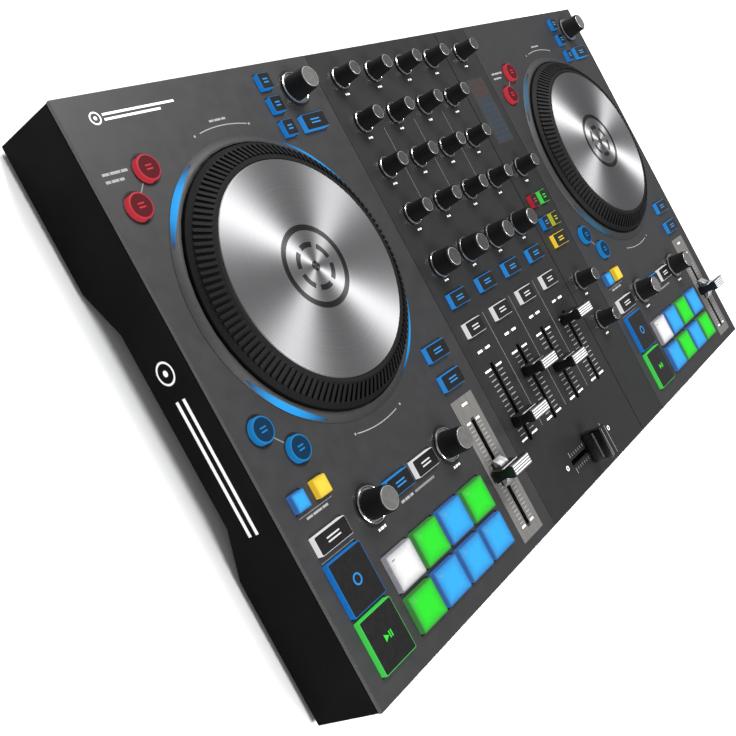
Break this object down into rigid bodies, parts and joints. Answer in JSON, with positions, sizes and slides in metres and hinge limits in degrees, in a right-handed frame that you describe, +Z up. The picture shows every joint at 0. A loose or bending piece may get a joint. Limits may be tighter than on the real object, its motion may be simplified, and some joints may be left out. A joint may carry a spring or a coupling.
{
  "type": "dj controller",
  "caption": "Flat case with two jog-wheel decks on either side of a channel mixer of knobs, buttons and faders, on rubber foot strips.",
  "frame": {"origin": "middle of the footprint, on the surface that the feet rest on", "axes": "+X to the right along the case, +Y from the player to the back, +Z up out of the faceplate"},
  "size_m": [0.528, 0.291, 0.059],
  "materials": {
    "faceplate": "satin dark grey",
    "shell": "fine-textured black",
    "foot_rubber": "matt",
    "sockets": "moulded black",
    "circuit_board": "solder resist",
    "jog_grip": "ribbed matt",
    "jog_disc": "spun",
    "knob_rubber": "soft-touch",
    "fader_cap": "satin",
    "lit_pads": "frosted translucent",
    "lit_buttons": "black tops with lit edges"
  },
  "bodies": {
    "root": {"case_frame": "shell", "bottom_cover": "shell", "front_foot_strip": "foot_rubber", "rear_foot_strip": "foot_rubber", "rear_socket_panel": "sockets", "headphone_socket": "sockets", "main_circuit_board": "circuit_board", "mixer_plate": "faceplate", "left_deck_plate": "faceplate", "right_deck_plate": "faceplate"},
    "left_jog": {"left_jog_wheel": "jog_grip", "left_jog_disc": "jog_disc"},
    "right_jog": {"right_jog_wheel": "jog_grip", "right_jog_disc": "jog_disc"},
    "channel_1_fader": {"channel_1_fader": "fader_cap"},
    "channel_2_fader": {"channel_2_fader": "fader_cap"},
    "channel_3_fader": {"channel_3_fader": "fader_cap"},
    "channel_4_fader": {"channel_4_fader": "fader_cap"},
    "crossfader": {"crossfader": "fader_cap"},
    "left_tempo_fader": {"left_tempo_fader": "fader_cap"},
    "right_tempo_fader": {"right_tempo_fader": "fader_cap"},
    "left_play_button": {"left_play_button": "lit_buttons"},
    "left_cue_button": {"left_cue_button": "lit_buttons"},
    "left_pads": {"left_pads": "lit_pads"},
    "left_buttons": {"left_button_mat": "lit_buttons"},
    "right_play_button": {"right_play_button": "lit_buttons"},
    "right_cue_button": {"right_cue_button": "lit_buttons"},
    "right_pads": {"right_pads": "lit_pads"},
    "right_buttons": {"right_button_mat": "lit_buttons"},
    "mixer_buttons": {"mixer_button_mat": "lit_buttons"},
    "left_browse_encoder": {"left_browse_encoder": "knob_rubber"},
    "left_move_encoder": {"left_move_encoder": "knob_rubber"},
    "left_loop_encoder": {"left_loop_encoder": "knob_rubber"},
    "right_browse_encoder": {"right_browse_encoder": "knob_rubber"},
    "right_move_encoder": {"right_move_encoder": "knob_rubber"},
    "right_loop_encoder": {"right_loop_encoder": "knob_rubber"},
    "booth_level_knob": {"booth_level_knob": "knob_rubber"},
    "channel_1_filter_knob": {"channel_1_filter_knob": "knob_rubber"},
    "channel_1_gain_knob": {"channel_1_gain_knob": "knob_rubber"},
    "channel_1_high_knob": {"channel_1_high_knob": "knob_rubber"},
    "channel_1_low_knob": {"channel_1_low_knob": "knob_rubber"},
    "channel_1_mid_knob": {"channel_1_mid_knob": "knob_rubber"},
    "channel_2_filter_knob": {"channel_2_filter_knob": "knob_rubber"},
    "channel_2_gain_knob": {"channel_2_gain_knob": "knob_rubber"},
    "channel_2_high_knob": {"channel_2_high_knob": "knob_rubber"},
    "channel_2_low_knob": {"channel_2_low_knob": "knob_rubber"},
    "channel_2_mid_knob": {"channel_2_mid_knob": "knob_rubber"},
    "channel_3_filter_knob": {"channel_3_filter_knob": "knob_rubber"},
    "channel_3_gain_knob": {"channel_3_gain_knob": "knob_rubber"},
    "channel_3_high_knob": {"channel_3_high_knob": "knob_rubber"},
    "channel_3_low_knob": {"channel_3_low_knob": "knob_rubber"},
    "channel_3_mid_knob": {"channel_3_mid_knob": "knob_rubber"},
    "channel_4_filter_knob": {"channel_4_filter_knob": "knob_rubber"},
    "channel_4_gain_knob": {"channel_4_gain_knob": "knob_rubber"},
    "channel_4_high_knob": {"channel_4_high_knob": "knob_rubber"},
    "channel_4_low_knob": {"channel_4_low_knob": "knob_rubber"},
    "channel_4_mid_knob": {"channel_4_mid_knob": "knob_rubber"},
    "cue_mix_knob": {"cue_mix_knob": "knob_rubber"},
    "headphone_level_knob": {"headphone_level_knob": "knob_rubber"},
    "main_level_knob": {"main_level_knob": "knob_rubber"}
  },
  "joints": [
    {"name": "left_jog_turn", "type": "hinge", "parent": "root", "child": "left_jog", "pos_m": [-0.1765, 0.0375, 0.0552], "axis": [0, 0, 1], "continuous": true},
    {"name": "right_jog_turn", "type": "hinge", "parent": "root", "child": "right_jog", "pos_m": [0.1755, 0.0375, 0.0552], "axis": [0, 0, 1], "continuous": true},
    {"name": "channel_1_fader_slide", "type": "slide", "parent": "root", "child": "channel_1_fader", "axis": [0, 1, 0], "range_m": [-0.0115, 0.0325]},
    {"name": "channel_2_fader_slide", "type": "slide", "parent": "root", "child": "channel_2_fader", "axis": [0, 1, 0], "range_m": [-0.0305, 0.0135]},
    {"name": "channel_3_fader_slide", "type": "slide", "parent": "root", "child": "channel_3_fader", "axis": [0, 1, 0], "range_m": [-0.021, 0.023]},
    {"name": "channel_4_fader_slide", "type": "slide", "parent": "root", "child": "channel_4_fader", "axis": [0, 1, 0], "range_m": [-0.042, 0.002]},
    {"name": "crossfader_slide", "type": "slide", "parent": "root", "child": "crossfader", "axis": [1, 0, 0], "range_m": [-0.022, 0.022]},
    {"name": "left_tempo_fader_slide", "type": "slide", "parent": "root", "child": "left_tempo_fader", "axis": [0, 1, 0], "range_m": [-0.029, 0.029]},
    {"name": "right_tempo_fader_slide", "type": "slide", "parent": "root", "child": "right_tempo_fader", "axis": [0, 1, 0], "range_m": [-0.029, 0.029]},
    {"name": "left_play_button_press", "type": "slide", "parent": "root", "child": "left_play_button", "axis": [0, 0, -1], "range_m": [0, 0.0012], "stiffness_N_per_m": 400, "springref_m": -0.002},
    {"name": "left_cue_button_press", "type": "slide", "parent": "root", "child": "left_cue_button", "axis": [0, 0, -1], "range_m": [0, 0.0012], "stiffness_N_per_m": 400, "springref_m": -0.002},
    {"name": "left_pads_press", "type": "slide", "parent": "root", "child": "left_pads", "axis": [0, 0, -1], "range_m": [0, 0.0012], "stiffness_N_per_m": 400, "springref_m": -0.002},
    {"name": "left_buttons_press", "type": "slide", "parent": "root", "child": "left_buttons", "axis": [0, 0, -1], "range_m": [0, 0.0012], "stiffness_N_per_m": 400, "springref_m": -0.002},
    {"name": "right_play_button_press", "type": "slide", "parent": "root", "child": "right_play_button", "axis": [0, 0, -1], "range_m": [0, 0.0012], "stiffness_N_per_m": 400, "springref_m": -0.002},
    {"name": "right_cue_button_press", "type": "slide", "parent": "root", "child": "right_cue_button", "axis": [0, 0, -1], "range_m": [0, 0.0012], "stiffness_N_per_m": 400, "springref_m": -0.002},
    {"name": "right_pads_press", "type": "slide", "parent": "root", "child": "right_pads", "axis": [0, 0, -1], "range_m": [0, 0.0012], "stiffness_N_per_m": 400, "springref_m": -0.002},
    {"name": "right_buttons_press", "type": "slide", "parent": "root", "child": "right_buttons", "axis": [0, 0, -1], "range_m": [0, 0.0012], "stiffness_N_per_m": 400, "springref_m": -0.002},
    {"name": "mixer_buttons_press", "type": "slide", "parent": "root", "child": "mixer_buttons", "axis": [0, 0, -1], "range_m": [0, 0.0012], "stiffness_N_per_m": 400, "springref_m": -0.002},
    {"name": "left_browse_encoder_turn", "type": "hinge", "parent": "root", "child": "left_browse_encoder", "pos_m": [-0.1105, 0.1285, 0.0572], "axis": [0, 0, 1], "continuous": true},
    {"name": "left_move_encoder_turn", "type": "hinge", "parent": "root", "child": "left_move_encoder", "pos_m": [-0.2102, -0.0719, 0.0572], "axis": [0, 0, 1], "continuous": true},
    {"name": "left_loop_encoder_turn", "type": "hinge", "parent": "root", "child": "left_loop_encoder", "pos_m": [-0.14, -0.0719, 0.0572], "axis": [0, 0, 1], "continuous": true},
    {"name": "right_browse_encoder_turn", "type": "hinge", "parent": "root", "child": "right_browse_encoder", "pos_m": [0.2415, 0.1285, 0.0572], "axis": [0, 0, 1], "continuous": true},
    {"name": "right_move_encoder_turn", "type": "hinge", "parent": "root", "child": "right_move_encoder", "pos_m": [0.1418, -0.0719, 0.0572], "axis": [0, 0, 1], "continuous": true},
    {"name": "right_loop_encoder_turn", "type": "hinge", "parent": "root", "child": "right_loop_encoder", "pos_m": [0.212, -0.0719, 0.0572], "axis": [0, 0, 1], "continuous": true},
    {"name": "booth_level_knob_turn", "type": "hinge", "parent": "root", "child": "booth_level_knob", "pos_m": [0.0684, 0.0436, 0.0568], "axis": [0, 0, 1], "range_deg": [-150, 150]},
    {"name": "channel_1_filter_knob_turn", "type": "hinge", "parent": "root", "child": "channel_1_filter_knob", "pos_m": [-0.069, 0.0115, 0.0564], "axis": [0, 0, 1], "range_deg": [-150, 150]},
    {"name": "channel_1_gain_knob_turn", "type": "hinge", "parent": "root", "child": "channel_1_gain_knob", "pos_m": [-0.069, 0.1285, 0.0568], "axis": [0, 0, 1], "range_deg": [-150, 150]},
    {"name": "channel_1_high_knob_turn", "type": "hinge", "parent": "root", "child": "channel_1_high_knob", "pos_m": [-0.069, 0.1013, 0.0568], "axis": [0, 0, 1], "range_deg": [-150, 150]},
    {"name": "channel_1_low_knob_turn", "type": "hinge", "parent": "root", "child": "channel_1_low_knob", "pos_m": [-0.069, 0.0436, 0.0568], "axis": [0, 0, 1], "range_deg": [-150, 150]},
    {"name": "channel_1_mid_knob_turn", "type": "hinge", "parent": "root", "child": "channel_1_mid_knob", "pos_m": [-0.069, 0.0725, 0.0568], "axis": [0, 0, 1], "range_deg": [-150, 150]},
    {"name": "channel_2_filter_knob_turn", "type": "hinge", "parent": "root", "child": "channel_2_filter_knob", "pos_m": [-0.036, 0.0115, 0.0564], "axis": [0, 0, 1], "range_deg": [-150, 150]},
    {"name": "channel_2_gain_knob_turn", "type": "hinge", "parent": "root", "child": "channel_2_gain_knob", "pos_m": [-0.036, 0.1285, 0.0568], "axis": [0, 0, 1], "range_deg": [-150, 150]},
    {"name": "channel_2_high_knob_turn", "type": "hinge", "parent": "root", "child": "channel_2_high_knob", "pos_m": [-0.036, 0.1013, 0.0568], "axis": [0, 0, 1], "range_deg": [-150, 150]},
    {"name": "channel_2_low_knob_turn", "type": "hinge", "parent": "root", "child": "channel_2_low_knob", "pos_m": [-0.036, 0.0436, 0.0568], "axis": [0, 0, 1], "range_deg": [-150, 150]},
    {"name": "channel_2_mid_knob_turn", "type": "hinge", "parent": "root", "child": "channel_2_mid_knob", "pos_m": [-0.036, 0.0725, 0.0568], "axis": [0, 0, 1], "range_deg": [-150, 150]},
    {"name": "channel_3_filter_knob_turn", "type": "hinge", "parent": "root", "child": "channel_3_filter_knob", "pos_m": [-0.003, 0.0115, 0.0564], "axis": [0, 0, 1], "range_deg": [-150, 150]},
    {"name": "channel_3_gain_knob_turn", "type": "hinge", "parent": "root", "child": "channel_3_gain_knob", "pos_m": [-0.003, 0.1285, 0.0568], "axis": [0, 0, 1], "range_deg": [-150, 150]},
    {"name": "channel_3_high_knob_turn", "type": "hinge", "parent": "root", "child": "channel_3_high_knob", "pos_m": [-0.003, 0.1013, 0.0568], "axis": [0, 0, 1], "range_deg": [-150, 150]},
    {"name": "channel_3_low_knob_turn", "type": "hinge", "parent": "root", "child": "channel_3_low_knob", "pos_m": [-0.003, 0.0436, 0.0568], "axis": [0, 0, 1], "range_deg": [-150, 150]},
    {"name": "channel_3_mid_knob_turn", "type": "hinge", "parent": "root", "child": "channel_3_mid_knob", "pos_m": [-0.003, 0.0725, 0.0568], "axis": [0, 0, 1], "range_deg": [-150, 150]},
    {"name": "channel_4_filter_knob_turn", "type": "hinge", "parent": "root", "child": "channel_4_filter_knob", "pos_m": [0.03, 0.0115, 0.0564], "axis": [0, 0, 1], "range_deg": [-150, 150]},
    {"name": "channel_4_gain_knob_turn", "type": "hinge", "parent": "root", "child": "channel_4_gain_knob", "pos_m": [0.03, 0.1285, 0.0568], "axis": [0, 0, 1], "range_deg": [-150, 150]},
    {"name": "channel_4_high_knob_turn", "type": "hinge", "parent": "root", "child": "channel_4_high_knob", "pos_m": [0.03, 0.1013, 0.0568], "axis": [0, 0, 1], "range_deg": [-150, 150]},
    {"name": "channel_4_low_knob_turn", "type": "hinge", "parent": "root", "child": "channel_4_low_knob", "pos_m": [0.03, 0.0436, 0.0568], "axis": [0, 0, 1], "range_deg": [-150, 150]},
    {"name": "channel_4_mid_knob_turn", "type": "hinge", "parent": "root", "child": "channel_4_mid_knob", "pos_m": [0.03, 0.0725, 0.0568], "axis": [0, 0, 1], "range_deg": [-150, 150]},
    {"name": "cue_mix_knob_turn", "type": "hinge", "parent": "root", "child": "cue_mix_knob", "pos_m": [0.0684, -0.041, 0.0568], "axis": [0, 0, 1], "range_deg": [-150, 150]},
    {"name": "headphone_level_knob_turn", "type": "hinge", "parent": "root", "child": "headphone_level_knob", "pos_m": [0.0684, -0.0705, 0.0568], "axis": [0, 0, 1], "range_deg": [-150, 150]},
    {"name": "main_level_knob_turn", "type": "hinge", "parent": "root", "child": "main_level_knob", "pos_m": [0.0684, 0.1285, 0.0568], "axis": [0, 0, 1], "range_deg": [-150, 150]}
  ]
}
